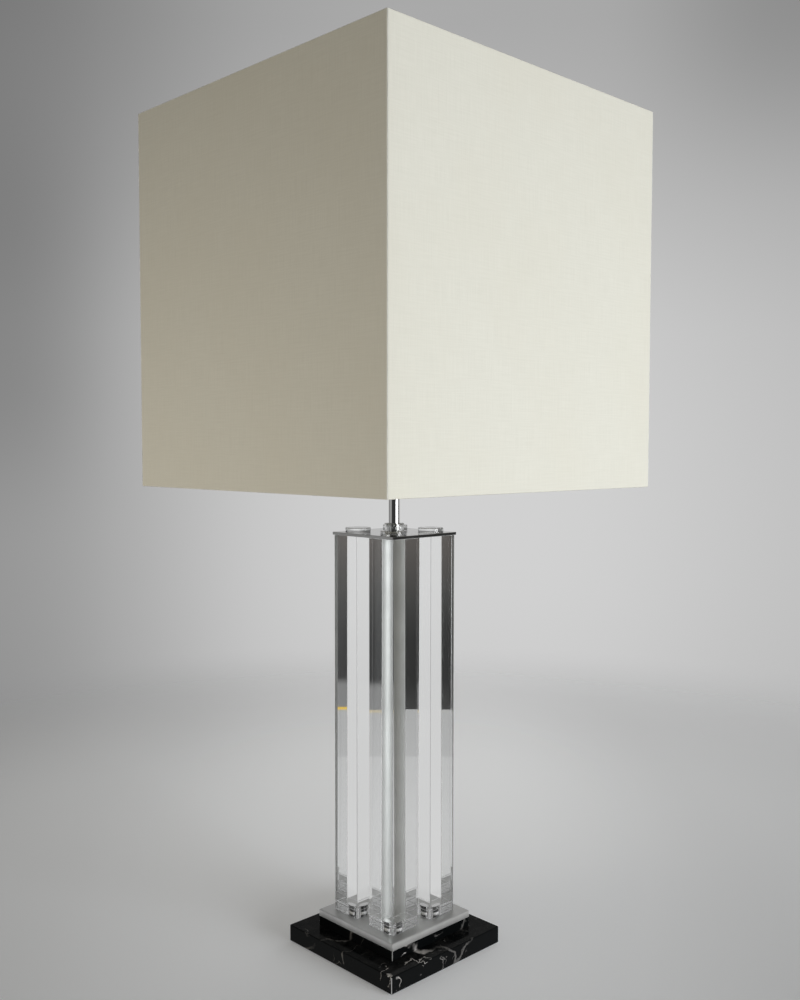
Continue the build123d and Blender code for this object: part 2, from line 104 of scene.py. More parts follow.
def vectors(tree, operation, a, b=(0.0, 0.0, 0.0)):
    """The result of one calculation on vectors, which is a number for some."""
    node = add(tree, "ShaderNodeVectorMath", {0: a, 1: b}, operation=operation)
    return node.outputs["Value" if operation in ("DOT_PRODUCT", "DISTANCE", "LENGTH") else "Vector"]


def apart(tree, vector):
    """A vector's x, y and z."""
    return add(tree, "ShaderNodeSeparateXYZ", {0: vector}).outputs


def ranged(tree, value, low, high, to_low=0.0, to_high=1.0, smooth=True):
    """A value taken from one range to another, and held at its ends."""
    kind = "SMOOTHSTEP" if smooth else "LINEAR"
    ends = {"Value": value, "From Min": low, "From Max": high, "To Min": to_low, "To Max": to_high}
    return add(tree, "ShaderNodeMapRange", ends, interpolation_type=kind).outputs[0]


def blended(tree, share, a, b):
    """Colour a, turning to colour b as the share goes from 0 to 1."""
    return add(tree, "ShaderNodeMix", {0: share, 6: a, 7: b}, data_type="RGBA").outputs[2]


def blended_number(tree, share, a, b):
    """Number a, turning to number b as the share goes from 0 to 1."""
    return maths(tree, "MULTIPLY_ADD", share, maths(tree, "SUBTRACT", b, a), a)


def grey(level):
    return (level, level, level, 1.0)


def noise(tree, vector, scale, detail=2.0, roughness=0.5, distortion=0.0, output=0):
    """A noise texture, its scale in cells per unit of the vector. Output 0 is its value, 1 its colour."""
    sockets = {"Vector": vector, "Scale": scale, "Detail": detail, "Roughness": roughness,
               "Distortion": distortion}
    return add(tree, "ShaderNodeTexNoise", sockets).outputs[output]


def stretched(tree, vector, scale):
    """A vector with its own factor on each axis."""
    return add(tree, "ShaderNodeMapping", {"Vector": vector, "Scale": scale}).outputs[0]


def scaled(tree, colour, by):
    """A colour made brighter or darker by a factor."""
    return add(tree, "ShaderNodeVectorMath", {0: colour, "Scale": by}, operation="SCALE").outputs[0]


def ramp(tree, value, stops, interpolation="LINEAR"):
    """A colour ramp from (place, colour) stops, over values from -1 to 1."""
    node = add(tree, "ShaderNodeValToRGB", {0: maths(tree, "MULTIPLY_ADD", value, 0.5, 0.5)})
    node.color_ramp.interpolation = interpolation
    elements = node.color_ramp.elements
    elements[0].position = stops[0][0] / 2 + 0.5
    elements[1].position = stops[-1][0] / 2 + 0.5
    for place, colour in stops[1:-1]:
        elements.new(place / 2 + 0.5)
    for element in elements:
        place = element.position * 2 - 1
        colour = min(stops, key=lambda stop: abs(stop[0] - place))[1]
        element.color = colour if isinstance(colour, tuple) else grey(colour)
    return node.outputs[0]


def inside(tree, value, low, low_full, high_full, high):
    """1 between two limits, with soft edges."""
    return times(tree, ranged(tree, value, low, low_full), ranged(tree, value, high, high_full))


def open_socket(tree, label, kind, side="INPUT"):
    """A socket on the outside of a node group."""
    return tree.interface.new_socket(label, in_out=side, socket_type="NodeSocket" + kind)


def shader_group(name, inputs, outputs):
    """A new shader node group from a vector and numbers to numbers: its tree, that vector, and its ends."""
    tree = bpy.data.node_groups.new(name, "ShaderNodeTree")
    open_socket(tree, "Vector", "Vector")
    for label, value in inputs.items():
        open_socket(tree, label, "Float").default_value = value
    for label in outputs:
        open_socket(tree, label, "Float", "OUTPUT")
    given = tree.nodes.new("NodeGroupInput").outputs
    return tree, given["Vector"], given, tree.nodes.new("NodeGroupOutput")


def smudge_group():
    """Handling marks and fine hairlines on a polished surface, as a roughness and a height."""
    tree, place, given, out = shader_group("handling_marks", {"Clean": 0.1, "Marked": 0.2, "Size": 30.0},
                                           ("Roughness", "Height"))
    patches = noise(tree, place, given["Size"], detail=4.0, roughness=0.62)
    share = ranged(tree, patches, 0.42, 0.72)
    hairlines = noise(tree, stretched(tree, place, (900.0, 60.0, 140.0)), 1.0, detail=3.0)
    feed(tree, out, Roughness=blended_number(tree, share, given["Clean"], given["Marked"]), Height=hairlines)
    return tree


def grain_group():
    """The drawn grain of a brushed or satin metal, running along its own X."""
    tree, place, given, out = shader_group("drawn_grain", {"Fineness": 1800.0, "Low": 0.2, "High": 0.35},
                                           ("Roughness", "Height"))
    lines = vectors(tree, "MULTIPLY", place, (0.03, 1.0, 1.0))
    fine = noise(tree, lines, given["Fineness"], detail=3.0, roughness=0.7)
    broad = noise(tree, place, 45.0, detail=3.0)
    mixed = maths(tree, "MULTIPLY_ADD", fine, 0.6, times(tree, broad, 0.4))
    share = ranged(tree, mixed, 0.3, 0.7, smooth=False)
    feed(tree, out, Roughness=blended_number(tree, share, given["Low"], given["High"]), Height=mixed)
    return tree


def dust_group():
    """A thin film of dust and lint on what faces up."""
    tree, place, given, out = shader_group("settled_dust", {"Amount": 0.3}, ("Mask",))
    up = apart(tree, add(tree, "ShaderNodeNewGeometry").outputs["Normal"])[2]
    film = noise(tree, place, 60.0, detail=5.0, roughness=0.7)
    specks = add(tree, "ShaderNodeTexVoronoi", {"Vector": place, "Scale": 260.0}).outputs["Distance"]
    film = times(tree, ranged(tree, film, 0.35, 0.75), 0.35)
    film = maths(tree, "MAXIMUM", film, times(tree, ranged(tree, specks, 0.16, 0.06), 0.8))
    top = times(tree, ranged(tree, up, 0.7, 0.95), given["Amount"])
    feed(tree, out, Mask=times(tree, film, top))
    return tree


def weave_group():
    """A plain weave: threads over and under each other, a few of them thicker, as a height and a tone."""
    tree, place, given, out = shader_group("plain_weave", {"Threads per metre": 1900.0}, ("Height", "Tone"))
    shift = vectors(tree, "MULTIPLY", noise(tree, place, 130.0, output=1), (0.0005, 0.0005, 0.0))
    u, v, _ = apart(tree, vectors(tree, "ADD", place, shift))
    turns = times(tree, given["Threads per metre"], math.pi)
    warp = maths(tree, "SINE", times(tree, u, turns))
    weft = maths(tree, "SINE", times(tree, v, turns))
    crown = maths(tree, "MAXIMUM", maths(tree, "ABSOLUTE", warp), maths(tree, "ABSOLUTE", weft))
    slub_u = noise(tree, stretched(tree, place, (30.0, 700.0, 1.0)), 1.0)
    slub_v = noise(tree, stretched(tree, place, (700.0, 30.0, 1.0)), 1.0)
    slubs = times(tree, maths(tree, "ADD", slub_u, slub_v), 0.5)
    height = maths(tree, "MULTIPLY_ADD", times(tree, warp, weft), 0.25, crown)
    height = maths(tree, "MULTIPLY_ADD", slubs, 1.6, height)
    feed(tree, out, Height=height, Tone=ranged(tree, slubs, 0.36, 0.64, smooth=False))
    return tree


VEIN_BEND = 0.06         # how far the veins' noise is bent, in metres
LONG_VEIN = 0.010        # half the veins' widths, in units of their noise fields
FINE_VEIN = 0.012


def thread(tree, field, width):
    """1 on the line where a noise field is at its middle, falling to 0 over that width."""
    off_line = maths(tree, "ABSOLUTE", maths(tree, "SUBTRACT", field, 0.5))
    return ranged(tree, off_line, width, width * 0.2)


def vein_group():
    """White veins in black marble: long broken threads, finer side threads and short flecks."""
    tree, plain, given, out = shader_group("marble_veins", {"Amount": 1.0}, ("Veins", "Clouds"))
    warp = noise(tree, plain, 14.0, detail=5.0, roughness=0.6, output=1)
    place = vectors(tree, "ADD", plain, scaled(tree, warp, VEIN_BEND))
    long_field = noise(tree, place, 9.0, detail=1.5, roughness=0.4)
    fine_field = noise(tree, place, 34.0)
    broken = noise(tree, plain, 38.0, detail=3.0)
    long_veins = times(tree, thread(tree, long_field, LONG_VEIN), ranged(tree, broken, 0.40, 0.56))
    fine_veins = times(tree, thread(tree, fine_field, FINE_VEIN), ranged(tree, broken, 0.55, 0.66))
    cells = add(tree, "ShaderNodeTexVoronoi",
                {"Vector": stretched(tree, place, (1.0, 0.55, 1.6)), "Scale": 95.0})
    fleck = times(tree, ranged(tree, cells.outputs["Distance"], 0.13, 0.07),
                  ranged(tree, noise(tree, plain, 25.0), 0.58, 0.68))
    veins = maths(tree, "MAXIMUM", maths(tree, "MAXIMUM", long_veins, fine_veins), fleck)
    feed(tree, out, Veins=maths(tree, "MULTIPLY", veins, given["Amount"], clamp=True),
         Clouds=ranged(tree, long_field, 0.3, 0.7))
    return tree


GROUPS = {
    "marks": smudge_group(),
    "grain": grain_group(),
    "dust": dust_group(),
    "weave": weave_group(),
    "veins": vein_group(),
}


def placed(tree, name, **sockets):
    """A shader group placed in a material, its inputs linked or set."""
    return add(tree, "ShaderNodeGroup", spaced(sockets), node_tree=GROUPS[name]).outputs


# ---------------------------------------------------------------- materials

def material(name, **sockets):
    """A material with one principled shader: its tree, its shader and its object coordinates."""
    made = bpy.data.materials.new(name)
    made.use_nodes = True
    tree = made.node_tree
    shader = tree.nodes["Principled BSDF"]
    for label, value in spaced(sockets).items():
        shader.inputs[label].default_value = value
    return made, tree, shader, tree.nodes.new("ShaderNodeTexCoord").outputs["Object"]


def bumped(tree, shader, height, depth, strength):
    bump = add(tree, "ShaderNodeBump", {"Height": height, "Distance": depth, "Strength": strength})
    tree.links.new(bump.outputs[0], shader.inputs["Normal"])


MARBLE_ARRISES = (("base_slab", 0.7 * MM), ("base_riser", 0.5 * MM))
ARRIS_MARGIN = 0.02 * MM
CLOUD_CENTRE = (0.0855, -0.055, 0.012)   # of the veins' densest place, on the slab's right side
CLOUD_NEAR = 0.020                       # full within this distance of it
CLOUD_FAR = 0.052                        # and thin beyond this one


def upright_arris_highlight(tree, place):
    """1 on the upright arrises of the slab and the riser, which are ground but not polished. The marble paints
    them pale grey, partly for that finish and partly as a painted highlight.
    """
    x, y, z = apart(tree, place)
    reach = maths(tree, "ADD", maths(tree, "ABSOLUTE", x), maths(tree, "ABSOLUTE", y))
    over_slab = above(tree, z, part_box("base_slab")[1].z)
    limits = [2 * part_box(node)[1].x - arris - ARRIS_MARGIN for node, arris in MARBLE_ARRISES]
    return above(tree, reach, blended_number(tree, over_slab, *limits))


def marble():
    """Polished black marble. Most of its white lies in one cloud at the near right corner. Its upright arrises
    are painted pale grey, for their ground finish and as a painted highlight.
    """
    made, tree, shader, place = material("black_marble", IOR=1.35, Specular_IOR_Level=0.05)
    away = vectors(tree, "DISTANCE", place, CLOUD_CENTRE)
    amount = ranged(tree, away, CLOUD_NEAR, CLOUD_FAR, 2.4, 0.22)
    veins = placed(tree, "veins", Vector=place, Amount=amount)
    dust = placed(tree, "dust", Vector=place, Amount=0.18)["Mask"]
    black = blended(tree, veins["Clouds"], (0.0028, 0.0034, 0.0036, 1), (0.0055, 0.0064, 0.0068, 1))
    veined = blended(tree, veins["Veins"], black, (0.62, 0.60, 0.58, 1))
    marks = placed(tree, "marks", Vector=place, Clean=0.05, Marked=0.13, Size=28.0)
    dusted = blended(tree, dust, veined, (0.30, 0.29, 0.28, 1))
    # painted highlight: the upright arrises take a pale grey and a duller roughness, partly for their ground
    # finish and partly for the light they catch
    arris = upright_arris_highlight(tree, place)
    feed(tree, shader, Base_Color=blended(tree, arris, dusted, (0.50, 0.51, 0.51, 1)),
         Roughness=blended_number(tree, arris, marks["Roughness"], 0.5))
    bumped(tree, shader, veins["Veins"], 0.00004, 0.5)
    return made


def toned(tree, field, colour, factor):
    """A colour that turns darker, by that factor, where a noise field is high."""
    darker = tuple(factor * c for c in colour[:3]) + (1.0,)
    return blended(tree, ranged(tree, field, 0.3, 0.7), colour, darker)


def metal(name, colour, clean, marked, dusty=0.0):
    """A polished or plated metal with handling marks."""
    made, tree, shader, place = material(name, Metallic=1.0)
    marks = placed(tree, "marks", Vector=place, Clean=clean, Marked=marked, Size=35.0)
    base = toned(tree, noise(tree, place, 22.0, detail=3.0), colour, 0.9)
    if dusty:
        base = blended(tree, placed(tree, "dust", Vector=place, Amount=dusty)["Mask"], base, grey(0.55))
    feed(tree, shader, Base_Color=base, Roughness=marks["Roughness"])
    bumped(tree, shader, marks["Height"], 0.00001, 0.3)
    return made


def satin(name, colour, low, high, fineness=1800.0, metallic=1.0):
    """A satin or brushed metal with a drawn grain."""
    made, tree, shader, place = material(name, Metallic=metallic)
    grain = placed(tree, "grain", Vector=place, Fineness=fineness, Low=low, High=high)
    base = toned(tree, noise(tree, place, 30.0, detail=4.0), colour, 0.86)
    dust = placed(tree, "dust", Vector=place, Amount=0.25)["Mask"]
    feed(tree, shader, Base_Color=blended(tree, dust, base, grey(0.6)), Roughness=grain["Roughness"])
    bumped(tree, shader, grain["Height"], 0.00003, 0.5)
    return made


def let_light_through(tree, shader, clearness):
    """Lamp light and light bounced off dull surfaces goes straight through, as it would on average."""
    path = tree.nodes.new("ShaderNodeLightPath").outputs
    either = maths(tree, "MAXIMUM", path["Is Shadow Ray"], path["Is Diffuse Ray"])
    clear = add(tree, "ShaderNodeBsdfTransparent", {"Color": grey(clearness)}).outputs[0]
    both = add(tree, "ShaderNodeMixShader", {0: either, 1: shader.outputs[0], 2: clear}).outputs[0]
    tree.links.new(both, tree.nodes["Material Output"].inputs["Surface"])


def clear_acrylic():
    """Clear cast acrylic, flame-polished, with the faintest handling marks."""
    made, tree, shader, place = material("clear_acrylic", Base_Color=(0.985, 0.992, 0.990, 1),
                                         Transmission_Weight=1.0, IOR=1.49)
    marks = placed(tree, "marks", Vector=place, Clean=0.0, Marked=0.012, Size=18.0)
    ground = add(tree, "ShaderNodeAttribute", attribute_name="ground").outputs["Fac"]
    feed(tree, shader, Roughness=maths(tree, "MULTIPLY_ADD", ground, 0.6, marks["Roughness"]))
    let_light_through(tree, shader, 0.92)
    return made


def bulb_frost():
    """Frosted glass, etched unevenly from inside."""
    made, tree, shader, place = material("bulb_frost", Transmission_Weight=0.75, IOR=1.45)
    coat = noise(tree, place, 90.0, detail=4.0)
    feed(tree, shader, Base_Color=blended(tree, coat, (0.93, 0.93, 0.91, 1), (0.88, 0.88, 0.86, 1)),
         Roughness=ranged(tree, coat, 0.3, 0.7, 0.34, 0.46))
    let_light_through(tree, shader, 0.7)
    return made


def cloth():
    """Off-white cloth in a plain weave, drawn smooth over its backing."""
    made, tree, shader, _ = material("shade_cloth", Roughness=0.85, Sheen_Weight=0.12, Sheen_Roughness=0.5)
    flat = tree.nodes.new("ShaderNodeTexCoord").outputs["UV"]
    weave = placed(tree, "weave", Vector=flat, Threads_per_metre=1900.0)
    stain = noise(tree, stretched(tree, flat, (7.0, 5.0, 1.0)), 1.0, detail=4.0)
    thread_tone = blended(tree, weave["Tone"], (0.845, 0.835, 0.745, 1), (0.80, 0.79, 0.70, 1))
    aged = blended(tree, ranged(tree, stain, 0.35, 0.75, 0.0, 0.35), thread_tone, (0.80, 0.775, 0.665, 1))
    feed(tree, shader, Base_Color=aged)
    bumped(tree, shader, weave["Height"], 0.00006, 0.55)
    return made


def plastic(name, colour, low, high, texture=400.0):
    """Moulded, rolled or enamelled: one colour, with a fine skin texture and slow unevenness."""
    made, tree, shader, place = material(name)
    skin = noise(tree, place, texture, detail=3.0)
    uneven = noise(tree, place, 24.0, detail=3.0)
    feed(tree, shader, Base_Color=toned(tree, uneven, colour, 0.88),
         Roughness=ranged(tree, uneven, 0.3, 0.7, low, high))
    bumped(tree, shader, skin, 0.00002, 0.5)
    return made


PAINTED_RING_HEIGHT = 1.5 * MM   # height of the pale ring painted at an insert's foot as a highlight, and of the soft edge over it
RING_EDGE = 0.2 * MM


def insert_steel():
    """The inserts in the bars' feet: blackened, but for a pale grey ring where each meets the plate, which is a
    painted highlight.
    """
    made, tree, shader, place = material("black_oxide_steel")
    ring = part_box("base_plate")[1].z + PAINTED_RING_HEIGHT
    height = apart(tree, place)[2]
    painted_ring_highlight = ranged(tree, height, ring + RING_EDGE, ring)
    uneven = noise(tree, place, 60.0, detail=3.0)
    black = blended(tree, uneven, (0.016, 0.016, 0.017, 1), (0.024, 0.024, 0.025, 1))
    # painted highlight: a pale grey ring at the foot of each insert, just over the plate
    feed(tree, shader, Base_Color=blended(tree, painted_ring_highlight, black, grey(0.85)),
         Roughness=ranged(tree, uneven, 0.3, 0.7, 0.3, 0.45))
    bumped(tree, shader, noise(tree, place, 400.0, detail=3.0), 0.00002, 0.5)
    return made


def fibrous(name, colour, fleck, scale):
    """Pressed fibre: felt or insulating paper."""
    made, tree, shader, place = material(name, Roughness=0.95)
    fibres = noise(tree, place, scale, detail=5.0, roughness=0.75, distortion=1.5)
    feed(tree, shader, Base_Color=blended(tree, ranged(tree, fibres, 0.35, 0.7), colour, fleck))
    bumped(tree, shader, fibres, 0.0003, 0.7)
    return made


MATERIALS = {
    "felt": fibrous("black_felt", (0.012, 0.012, 0.013, 1), (0.05, 0.05, 0.052, 1), 900.0),
    "marble": marble(),
    "nickel": satin("satin_nickel", (0.73, 0.73, 0.715, 1), 0.32, 0.44),
    "acrylic": clear_acrylic(),
    "sleeve_metal": satin("satin_aluminium", (0.57, 0.585, 0.572, 1), 0.52, 0.62, fineness=900.0,
                          metallic=0.6),
    "black_steel": insert_steel(),
    "polished_steel": metal("polished_steel", (0.46, 0.46, 0.45, 1), 0.08, 0.16, dusty=0.15),
    "steel": metal("dull_steel", (0.17, 0.175, 0.18, 1), 0.26, 0.40),
    "chrome": metal("bright_chrome", (0.72, 0.72, 0.71, 1), 0.03, 0.08),
    "harp_metal": metal("nickel_wire", (0.60, 0.59, 0.56, 1), 0.16, 0.28),
    "socket_brass": metal("drawn_brass", (0.72, 0.54, 0.25, 1), 0.20, 0.34),
    "socket_paper": fibrous("pressed_paper", (0.20, 0.13, 0.07, 1), (0.32, 0.22, 0.12, 1), 600.0),
    "phenolic": plastic("dark_phenolic", (0.022, 0.017, 0.014, 1), 0.28, 0.42),
    "bushing_plastic": plastic("black_nylon", (0.02, 0.02, 0.021, 1), 0.4, 0.55),
    "bulb_metal": metal("rolled_aluminium", (0.68, 0.68, 0.67, 1), 0.24, 0.38),
    "bulb_black_glass": plastic("black_glass", (0.012, 0.011, 0.016, 1), 0.06, 0.16),
    "bulb_frosted_glass": bulb_frost(),
    "filament_metal": metal("lead_wire", (0.35, 0.35, 0.36, 1), 0.3, 0.45),
    "shade_cloth": cloth(),
    "shade_styrene": plastic("white_styrene", (0.80, 0.79, 0.76, 1), 0.42, 0.6, texture=1400.0),
    "shade_wire": plastic("white_enamel", (0.72, 0.72, 0.69, 1), 0.28, 0.4),
    "finial_metal": metal("turned_nickel", (0.62, 0.61, 0.58, 1), 0.08, 0.18),
}


def dress_cad_nodes():
    """Every CAD node takes the material of its slot."""
    for part in frame["record"]["subparts"]:
        node = frame["nodes"][part["node"]]
        node.data.materials.clear()
        node.data.materials.append(MATERIALS[part["material_slot"]])


# ---------------------------------------------------------------- meshes and pieces

def in_scene(name, data):
    """A mesh, a lamp or a lens as a new object in the scene."""
    made = bpy.data.objects.new(name, data)
    bpy.context.scene.collection.objects.link(made)
    return made


def new_piece(mesh, slot, body, replaced=(), smooth=None):
    """A finished mesh as a piece of the same name, on its body, in its slot's material."""
    piece = in_scene(mesh.name, mesh)
    mesh.materials.clear()
    mesh.materials.append(MATERIALS[slot])
    if smooth is not None:
        mesh.shade_smooth()
        mesh.set_sharp_from_angle(angle=math.radians(smooth))
    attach(piece, body)
    if replaced:
        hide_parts(*replaced)


def finished(built, name, has_poles=False):
    """A bmesh as a mesh, its doubles merged and its faces pointing outwards.

    Where it has poles, the pin-pricks that a lathe leaves on its axis close, each to one point."""
    bmesh.ops.remove_doubles(built, verts=built.verts, dist=3 * ON_AXIS if has_poles else 1e-7)
    bmesh.ops.delete(built, geom=[edge for edge in built.edges if edge.is_wire], context="EDGES")
    bmesh.ops.recalc_face_normals(built, faces=built.faces)
    mesh = bpy.data.meshes.new(name)
    built.to_mesh(mesh)
    built.free()
    return mesh


def quarter_turn(steps):
    """Angles from 0 to a quarter turn."""
    return [math.pi / 2 * k / steps for k in range(steps + 1)]


def bridged(loops, closed_profile=True):
    """Quads between loops of points, each loop closed, and the last joined to the first if asked."""
    built = bmesh.new()
    rows = [[built.verts.new(p) for p in loop] for loop in loops]
    pairs = list(zip(rows, rows[1:]))
    if closed_profile:
        pairs.append((rows[-1], rows[0]))
    for low, high in pairs:
        count = len(low)
        for i in range(count):
            j = (i + 1) % count
            built.faces.new((low[i], low[j], high[j], high[i]))
    return built


def lathe(outline, steps=96, centre=(0.0, 0.0)):
    """Rings of points turned about a vertical axis, one for each (radius, height) of the closed outline."""
    turn = [2 * math.pi * i / steps for i in range(steps)]
    return bridged([[(centre[0] + radius * math.cos(a), centre[1] + radius * math.sin(a), height)
                     for a in turn] for radius, height in outline])


def rounded(points, radius):
    """An outline with each corner rounded over that length, or over what its sides leave room for."""
    steps = 4
    result = []
    count = len(points)
    for i, corner in enumerate(points):
        here = Vector(corner)
        before = Vector(points[i - 1]) - here
        after = Vector(points[(i + 1) % count]) - here
        reach = min(radius, 0.45 * before.length, 0.45 * after.length)
        start = here + before.normalized() * reach
        end = here + after.normalized() * reach
        for k in range(steps + 1):
            t = k / steps
            result.append(tuple(start * (1 - t) ** 2 + here * (2 * t * (1 - t)) + end * t ** 2))
    return result


def square_ring(half, height, corner, centre=(0.0, 0.0), corner_steps=6, side_steps=20):
    """A rounded square of points, level at that height."""
    reach = half - corner
    points = []
    for quarter in range(4):
        turn = math.pi / 2 * quarter
        out = Vector((math.cos(turn), math.sin(turn), 0))
        along = Vector((-math.sin(turn), math.cos(turn), 0))
        side_start = out * half - along * reach
        for k in range(side_steps):
            points.append(side_start + along * (2 * reach * k / side_steps))
        arc = (out + along) * reach
        for angle in quarter_turn(corner_steps)[:-1]:
            points.append(arc + out * (corner * math.cos(angle)) + along * (corner * math.sin(angle)))
    return [(centre[0] + p.x, centre[1] + p.y, height) for p in points]


def turned_piece(name, outline, slot, body, replaced, corner=0.0, steps=96):
    """A part turned about the lamp's axis, in place of its CAD nodes."""
    outline = rounded(outline, corner) if corner else outline
    new_piece(finished(lathe(outline, steps), name), slot, body, replaced, smooth=50)


def middle(node):
    low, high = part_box(node)
    return (low + high) / 2


# ---------------------------------------------------------------- shade

shade_low, shade_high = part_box("shade_fabric")
SHADE_HALF = shade_high.x
SHADE_BOTTOM = shade_low.z
SHADE_TOP = shade_high.z


def ribbon(path, thick):
    """The closed outline of a strip of that thickness along a path in the plane."""
    sides = ([], [])
    for i, point in enumerate(path):
        ahead = Vector(path[min(i + 1, len(path) - 1)])
        behind = Vector(path[max(i - 1, 0)])
        run = (ahead - behind).normalized()
        across = Vector((-run.y, run.x)) * (thick / 2)
        sides[0].append(tuple(Vector(point) + across))
        sides[1].append(tuple(Vector(point) - across))
    return sides[0] + sides[1][::-1]


def sheet_uv(mesh):
    """A UV map in metres: along the wall and up it, whichever way the wall faces."""
    layer = mesh.uv_layers.new(name="weave")
    for face in mesh.polygons:
        across = 1 if abs(face.normal.x) > abs(face.normal.y) else 0
        for corner in face.loop_indices:
            point = mesh.vertices[mesh.loops[corner].vertex_index].co
            layer.data[corner].uv = (point[across], point.z)


CLOTH_THICK = 0.4 * MM
CLOTH_CORNER = 2.2 * MM
CLOTH_CORNER_LEAST = 0.6 * MM
# Half of the cloth's path over a frame wire: (distance inside the outer face, depth below the shade's edge).
CLOTH_FOLD = [(0.25, 1.4), (0.35, 0.7), (0.8, 0.32), (1.6, 0.24), (3.3, 0.24), (4.5, 0.55), (5.25, 1.35),
              (5.4, 2.3), (5.2, 3.3), (4.3, 4.7), (3.1, 6.0), (2.2, 7.4), (1.85, 9.0), (1.8, 14.0)]


def shade_cover():
    """The cloth over the shade, turned in over both frame wires."""
    upper = [(inset * MM, SHADE_TOP - depth * MM) for inset, depth in CLOTH_FOLD]
    lower = [(inset * MM, SHADE_BOTTOM + depth * MM) for inset, depth in CLOTH_FOLD]
    outline = ribbon(lower[::-1] + upper, CLOTH_THICK)
    loops = [square_ring(SHADE_HALF - inset, height, max(CLOTH_CORNER - inset, CLOTH_CORNER_LEAST))
             for inset, height in outline]
    mesh = finished(bridged(loops), "shade_cover")
    sheet_uv(mesh)
    new_piece(mesh, "shade_cloth", "shade", ["shade_fabric"], smooth=35)


def shade_seam():
    """The lap of the cloth's end, down the shade's rear edge: a flat block with its edges rounded."""
    lap_width = 11 * MM
    lap_thick = 0.35 * MM
    lap_sunk = 0.1 * MM      # in the cover
    lap_edge = 0.12 * MM
    end_gap = 1.5 * MM       # from the shade's edges
    corner = -SHADE_HALF + 2.5 * MM
    low = Vector((corner, SHADE_HALF - lap_sunk, SHADE_BOTTOM + end_gap))
    high = Vector((corner + lap_width, SHADE_HALF + lap_thick, SHADE_TOP - end_gap))
    built = bmesh.new()
    bmesh.ops.create_cube(built, size=1.0)
    for vertex in built.verts:
        vertex.co = low + (vertex.co + Vector((0.5, 0.5, 0.5))) * (high - low)
    bmesh.ops.bevel(built, geom=built.edges[:], offset=lap_edge, segments=2, affect="EDGES")
    mesh = finished(built, "shade_seam")
    sheet_uv(mesh)
    new_piece(mesh, "shade_cloth", "shade", smooth=40)


# ---------------------------------------------------------------- clear pieces

AIR_GAP = 0.03 * MM          # under and over a clear piece that stands dry on metal
INSERT_SLACK = 0.1 * MM      # between a bar and its insert
BAR_ARRIS = 0.4 * MM
BAR_LINE_HEIGHT = 9.0 * MM   # of the fine line scribed round each bar, over its insert
BAR_LINE_DEPTH = 0.35 * MM
BUTTON_THICK = 5.0 * MM
PLACES = ("front", "left", "right", "back")


def bar_square(centre, half, height):
    """The outline of a bar, or of a smaller square with the same arrises, as points at that height."""
    return square_ring(half, height, BAR_ARRIS, centre, corner_steps=4, side_steps=8)


def bar_circle(centre, half, radius, height):
    """A circle round a bar's axis, its points at the same angles as those of the bar's outline."""
    angles = [math.atan2(y - centre.y, x - centre.x) for x, y, _ in bar_square(centre, half, height)]
    return [(centre.x + radius * math.cos(a), centre.y + radius * math.sin(a), height) for a in angles]


def bars():
    """The four clear bars, each with its arrises ground round and a drilled hole in its foot for the insert.

    The ground faces carry the attribute that roughens them in the acrylic."""
    insert_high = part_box("column_inserts")[1]
    hole = insert_high.x - middle("column_front").x + INSERT_SLACK
    roof = insert_high.z + INSERT_SLACK
    for place in PLACES:
        low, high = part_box("column_" + place)
        centre = (low + high) / 2
        half = (high.x - low.x) / 2
        foot = low.z + AIR_GAP
        head = high.z - AIR_GAP
        line = low.z + BAR_LINE_HEIGHT
        loops = [bar_circle(centre, half, ON_AXIS, roof), bar_circle(centre, half, hole, roof),
                 bar_circle(centre, half, hole, foot)]
        for angle in quarter_turn(3):
            inset = BAR_ARRIS * (1 - math.sin(angle))
            loops.append(bar_square(centre, half - inset, foot + BAR_ARRIS * (1 - math.cos(angle))))
        loops += [bar_square(centre, half, line - BAR_LINE_DEPTH),
                  bar_square(centre, half - BAR_LINE_DEPTH, line),
                  bar_square(centre, half, line + BAR_LINE_DEPTH)]
        for angle in quarter_turn(3):
            inset = BAR_ARRIS * (1 - math.cos(angle))
            loops.append(bar_square(centre, half - inset, head - BAR_ARRIS * (1 - math.sin(angle))))
        loops.append(bar_circle(centre, half, ON_AXIS, head))
        mesh = finished(bridged(loops, closed_profile=False), "bar_" + place, has_poles=True)
        ground = mesh.attributes.new("ground", "FLOAT", "FACE")
        for face in mesh.polygons:
            out = max(abs(face.center.x - centre.x), abs(face.center.y - centre.y))
            slanted = max(abs(c) for c in face.normal) < 0.999
            ground.data[face.index].value = out > 1.5 * hole and slanted
        new_piece(mesh, "acrylic", "base", ["column_" + place])


def buttons():
    """The four clear buttons over the bars. The pegs under them are cemented in, so no joint shows."""
    foot_edge = 0.35 * MM
    rim = 0.7 * MM
    for place in PLACES:
        node = "cap_button_" + place
        low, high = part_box(node)
        centre = middle(node)
        radius = (high.x - low.x) / 2
        under = high.z - BUTTON_THICK + AIR_GAP
        outline = [(ON_AXIS, under), (radius - 2 * foot_edge, under), (radius - foot_edge, under),
                   (radius, under + foot_edge), (radius, under + 2 * foot_edge), (radius, high.z - 2 * rim)]
        outline += [(radius - rim + rim * math.cos(angle), high.z - rim + rim * math.sin(angle))
                    for angle in quarter_turn(6)]
        outline += [(radius - 2 * rim, high.z), (ON_AXIS, high.z)]
        mesh = finished(lathe(outline, centre=(centre.x, centre.y)), "button_" + place, has_poles=True)
        new_piece(mesh, "acrylic", "base", [node], smooth=30)


def collar():
    """The clear collar round the neck, its rims rounded."""
    low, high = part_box("neck_collar")
    bore = 6.5 * MM
    foot = low.z + AIR_GAP
    outline = [(bore, foot), (high.x, foot), (high.x, high.z), (bore, high.z)]
    turned_piece("collar", outline, "acrylic", "base", ["neck_collar"], corner=0.9 * MM)


# ---------------------------------------------------------------- threads and screws

